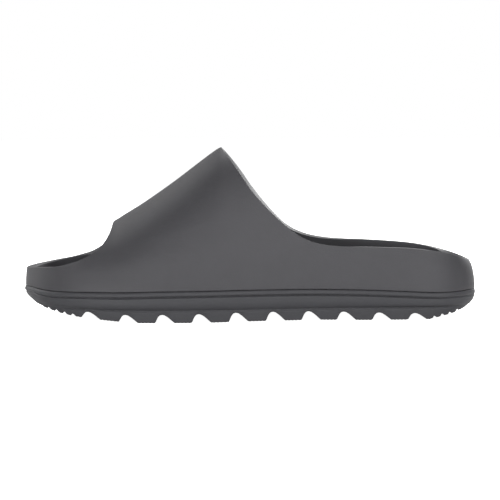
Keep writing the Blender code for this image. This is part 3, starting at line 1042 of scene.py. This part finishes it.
@dataclass
class Outsole:
    """Sole with beaded side, crease and sawtooth tread."""

    last: Last
    crease_height: float = 0.0078
    bead_height: float = 0.0029
    bead_proud: tuple[float, float, float] = (0.0005, 0.0005, 0.0002)
    groove_depth: float = 0.0010
    seam_depth: float = 0.0004
    groove_fade: tuple[float, float, float] = (1.0, 0.2, 0.1)
    gap: float = 0.0003
    notches: tuple[float, ...] = NOTCHES
    notch_depth: float = 0.0057
    notch_taper: float = 0.28
    rib_depth: float = 0.0016
    toe_ribs: tuple[float, float, int] = (0.0385, 0.1143, 5)
    heel_ribs: tuple[float, float, int] = (0.902, 0.955, 4)
    toe_blend: float = 0.25
    heel_blend: float = 0.16
    serration_pitch: float = 0.0022
    serration_depth: float = 0.00028
    edge_rounding: float = 0.0006
    edge_rise: float = 0.3
    lug_rows: tuple[float, ...] = (0.15, 0.5, 0.85)
    corner_cuts: int = 1
    blur: float = 0.00035
    taps: tuple[float, ...] = (-1.0, -0.5, 0.0, 0.5, 1.0)
    column_pitch: float = 0.00045
    end_columns: int = 120
    angle_samples: int = 4001
    top_columns: int = 4
    bottom_columns: int = 24

    def columns(self) -> np.ndarray:
        """Outline angles from toe to heel, even along the shoe and finer round its ends.

        The count grows with the length covered, half the length times sin phi over the pitch,
        plus an even share, and the angles are read back at whole counts.

        Returns:
            Angles on the medial side.
        """
        fine = np.linspace(0, math.pi, self.angle_samples)
        rate = self.last.length / 2 * np.sin(fine) / self.column_pitch + self.end_columns / math.pi
        count = np.concatenate(([0], np.cumsum((rate[1:] + rate[:-1]) / 2 * np.diff(fine))))
        return np.interp(np.linspace(0, count[-1], int(count[-1]) + 1), count, fine)

    def blended(self, station: np.ndarray, side: float, toe: float, heel: float) -> np.ndarray:
        """Value along the sole's side, easing into other values at its tips.

        Args:
            station: Where the value is read.
            side: Value along the side.
            toe: Value at the tip of the toe.
            heel: Value at the tip of the heel.

        Returns:
            The value at each station.
        """
        toe_share = np.clip(1 - station / self.toe_blend, 0, 1) ** 2
        heel_share = np.clip(1 - (1 - station) / self.heel_blend, 0, 1) ** 2
        return side + (toe - side) * toe_share + (heel - side) * heel_share

    def grooves(self, x: np.ndarray) -> tuple[np.ndarray, np.ndarray]:
        """Notches and ribs cut into the tread.

        Args:
            x: Places along the shoe.

        Returns:
            Depth of the cut, and 1 where a lug's whole face is left and 0 elsewhere.
        """
        depth = np.zeros_like(x)
        pitch = (self.notches[-1] - self.notches[0]) / (len(self.notches) - 1) * self.last.length
        shape = np.array(NOTCH_SHAPE)
        for station, where in zip(self.notches, np.linspace(-1, 1, len(self.notches))):
            offset = (x - (station - 0.5) * self.last.length) / pitch
            full = self.notch_depth * (1 - self.notch_taper * where ** 2)
            depth = np.maximum(depth, full * np.interp(offset, shape[:, 0], shape[:, 1]))
        face = (depth == 0).astype(float)
        shape = np.array(RIB_SHAPE)
        for first, final, count in (self.toe_ribs, self.heel_ribs):
            stations = np.linspace(first, final, count)
            pitch = (stations[1] - stations[0]) * self.last.length
            for station in stations:
                offset = (x - (station - 0.5) * self.last.length) / pitch
                depth = np.maximum(depth, self.rib_depth * np.interp(offset, shape[:, 0], shape[:, 1]))
        share = x / self.last.length + 0.5
        return depth, face * (share > self.toe_ribs[1]) * (share < self.heel_ribs[0])

    def tread(self, x: np.ndarray) -> np.ndarray:
        """Height of the underside at x: its curve, notches, ribs and a fine serration.

        Read a little before and behind as well and averaged, which rounds the lugs' corners.

        Args:
            x: Places along the shoe.

        Returns:
            Heights over the floor.
        """
        total = 0
        for tap in self.taps:
            at = x + tap * self.blur
            depth, face = self.grooves(at)
            base = self.last.seam_height * monotone(UNDERSIDE, 1, at / self.last.length + 0.5)
            wave = self.serration_depth * (0.5 - 0.5 * np.cos(FULL_TURN * at / self.serration_pitch))
            total = total + base + depth + wave * face
        return total / len(self.taps)

    def side(self, phi: np.ndarray) -> np.ndarray:
        """Side of the sole from tread edge to seam: lug side, crease, band, groove and bead.

        Args:
            phi: Outline angles.

        Returns:
            Grid of points, a row an angle.
        """
        last = self.last
        station = station_of(phi)
        seam = last.seam(phi) - self.gap
        crease = [
            (self.blended(station, *row[3:]), self.crease_height * self.blended(station, *row[:3]))
            for row in CREASE_LEVELS
        ]
        edge_inset = self.blended(station, *EDGE_INSET)
        low_inset, low_height = crease[0]
        edge_plan = last.inset(phi, edge_inset)
        face = self.tread(edge_plan[:, 0])
        rounded = face + self.edge_rounding * self.edge_rise
        levels = [(edge_inset + self.edge_rounding, face), (edge_inset, rounded)]
        for share in self.lug_rows:
            height = face + (low_height - face) * share
            levels.append((edge_inset + (low_inset - edge_inset) * share, height))
        levels += crease
        for row in BAND_LEVELS:
            levels.append((self.blended(station, *row[3:]), seam * self.blended(station, *row[:3])))
        bead_bottom = seam - self.bead_height
        for down, deep in GROOVE_SHAPE:
            depth = self.groove_depth * deep * self.blended(station, *self.groove_fade)
            levels.append((depth, bead_bottom - self.groove_depth * down))
        for up, out in BEAD_SHAPE:
            proud = out * self.blended(station, *self.bead_proud)
            levels.append((-proud, bead_bottom + self.bead_height * up))
        levels.append((self.seam_depth * self.blended(station, *self.groove_fade), seam))
        rows = [np.column_stack((last.inset(phi, inset), height)) for inset, height in levels]
        return round_corners(np.stack(rows, axis=1), self.corner_cuts)

    def build(self) -> bpy.types.Object:
        """Rings of side, top, side and tread from toe to heel.

        The tread runs straight across between the two lower edges, its height read at each
        point's own x, so that every notch runs straight through.

        Returns:
            The outsole's piece.
        """
        angle = self.columns()
        lateral, medial = self.side(FULL_TURN - angle), self.side(angle)
        shares = np.linspace(0, 1, self.top_columns + 1)[1:-1]
        top = straight_across(lateral[:, -1], medial[:, -1], shares)
        shares = np.linspace(0, 1, self.bottom_columns + 1)[1:-1]
        bottom = straight_across(medial[:, 0], lateral[:, 0], shares)
        bottom[..., 2] = self.tread(bottom[..., 0])
        rings = np.concatenate((lateral, top, medial[:, ::-1], bottom, lateral[:, :1]), axis=1)
        return place("outsole_tread", mesh_of("outsole", [rings], MERGE), "outsole", "outsole_foam")


@dataclass
class Camera:
    """Camera at the photograph's view of the lateral side, its angles in degrees."""

    elevation: float = 3.0
    distance: float = 1.6
    target_height: float = 0.054
    roll: float = 0.3
    metres_per_pixel: float = 0.000636
    picture: float = 500.0
    target_pixel: tuple[float, float] = (249.59, 231.13)
    sensor: float = 36.0

    def build(self) -> bpy.types.Object:
        """Places the camera and shifts its frame so that the target falls on its pixel.

        Returns:
            The camera.
        """
        data = bpy.data.cameras.new("camera")
        data.sensor_width = self.sensor
        data.lens = self.sensor * self.distance / (self.metres_per_pixel * self.picture)
        data.shift_x = (self.picture / 2 - self.target_pixel[0]) / self.picture
        data.shift_y = (self.target_pixel[1] - self.picture / 2) / self.picture
        camera = add_object("camera", data)
        angle = math.radians(self.elevation)
        target = Vector((0, 0, self.target_height))
        away = Vector((0, -math.cos(angle), math.sin(angle))) * self.distance
        turn = (-away).to_track_quat("-Z", "Y").to_matrix()
        roll = Matrix.Rotation(math.radians(-self.roll), 3, "Z")
        camera.matrix_world = Matrix.Translation(target + away) @ (turn @ roll).to_4x4()
        bpy.context.scene.camera = camera
        return camera


@dataclass(frozen=True)
class Softbox:
    """One soft light: where it stands, its size, its power and what it is aimed at."""

    name: str
    place: tuple[float, float, float]
    size: tuple[float, float]
    power: float
    aim: tuple[float, float, float] = (0.0, 0.0, 0.04)

    def build(self) -> bpy.types.Object:
        """Area light turned towards what it is aimed at.

        Returns:
            The light.
        """
        data = bpy.data.lights.new(self.name, "AREA")
        data.shape = "RECTANGLE"
        data.size, data.size_y = self.size
        data.energy = self.power
        light = add_object(self.name, data)
        light.location = self.place
        light.visible_camera = False
        ahead = Vector(self.aim) - Vector(self.place)
        light.rotation_euler = ahead.to_track_quat("-Z", "Y").to_euler()
        return light


@dataclass
class Studio:
    """Plain white floor and soft light.

    The floor glows for the camera alone: it is seen as white, and its glow doesn't light the shoe.
    """

    floor_side: float = 14.0
    floor_points: int = 5
    floor_white: float = 0.95
    floor_roughness: float = 0.9
    floor_gloss: float = 0.1
    floor_glow: float = 1.05
    boxes: tuple[Softbox, ...] = (
        Softbox("front softbox", (0.752, -1.074, 0.918), (0.8, 0.6), 11.4),
        Softbox("low toe side box", (-0.347, -0.600, 0.097), (0.30, 0.15), 1.9),
        Softbox("low heel side box", (0.347, -0.600, 0.097), (0.30, 0.15), 1.1),
        Softbox("rear toe side box", (-1.188, 0.832, 0.676), (0.5, 0.4), 11.3),
        Softbox("rear heel side box", (0.725, 1.256, 0.676), (0.5, 0.4), 19.2),
        Softbox("rear overhead box", (0.0, 0.871, 1.342), (0.6, 0.5), 10.2),
    )

    def floor(self) -> bpy.types.Object:
        """Pale floor under the shoe, bright enough to melt into the background.

        Returns:
            The floor.
        """
        half = self.floor_side / 2
        line = np.linspace(-half, half, self.floor_points)
        x, y = np.meshgrid(line, line)
        data = mesh_of("floor", [np.stack((x, y, 0 * x), axis=-1)], MERGE)
        Upper.point_outwards(data)
        floor = add_object("floor", data)
        material = bpy.data.materials.new("floor white")
        material.use_nodes = True
        shader = material.node_tree.nodes["Principled BSDF"]
        shader.inputs["Base Color"].default_value = (self.floor_white,) * 3 + (1,)
        shader.inputs["Roughness"].default_value = self.floor_roughness
        shader.inputs["Specular IOR Level"].default_value = self.floor_gloss
        shader.inputs["Emission Color"].default_value = (1, 1, 1, 1)
        nodes, links = material.node_tree.nodes, material.node_tree.links
        path = nodes.new("ShaderNodeLightPath")
        glow = nodes.new("ShaderNodeMath")
        glow.operation = "MULTIPLY"
        glow.inputs[1].default_value = self.floor_glow
        links.new(path.outputs["Is Camera Ray"], glow.inputs[0])
        links.new(glow.outputs[0], shader.inputs["Emission Strength"])
        data.materials.append(material)
        return floor

    def surroundings(self) -> None:
        """World that is seen as plain white behind the shoe and gives no light itself."""
        world = bpy.data.worlds.new("studio")
        bpy.context.scene.world = world
        world.use_nodes = True
        nodes, links = world.node_tree.nodes, world.node_tree.links
        shown = nodes["Background"]
        shown.inputs["Color"].default_value = (1, 1, 1, 1)
        path = nodes.new("ShaderNodeLightPath")
        links.new(path.outputs["Is Camera Ray"], shown.inputs["Strength"])

    def build(self) -> None:
        """Builds floor, surroundings and lights, and shows colours plainly."""
        self.floor()
        self.surroundings()
        for box in self.boxes:
            box.build()
        bpy.context.scene.view_settings.view_transform = "Standard"
        log.info("studio with %d softboxes", len(self.boxes))


def main() -> None:
    logging.basicConfig(level=logging.INFO)
    last = Last()
    skin = FoamSkin()
    Studio().build()
    Camera().build()
    parts = (
        (Upper(last), UPPER_FOAM),
        (Insole(last), FOOTBED_FOAM),
        (Outsole(last), OUTSOLE_FOAM),
    )
    for part, finish in parts:
        piece = part.build()
        piece.data.materials.append(foam_material(finish, skin))
        log.info("%s: %d faces before its modifiers", piece.name, len(piece.data.polygons))
    bpy.context.view_layer.update()


if __name__ == "__main__":
    main()
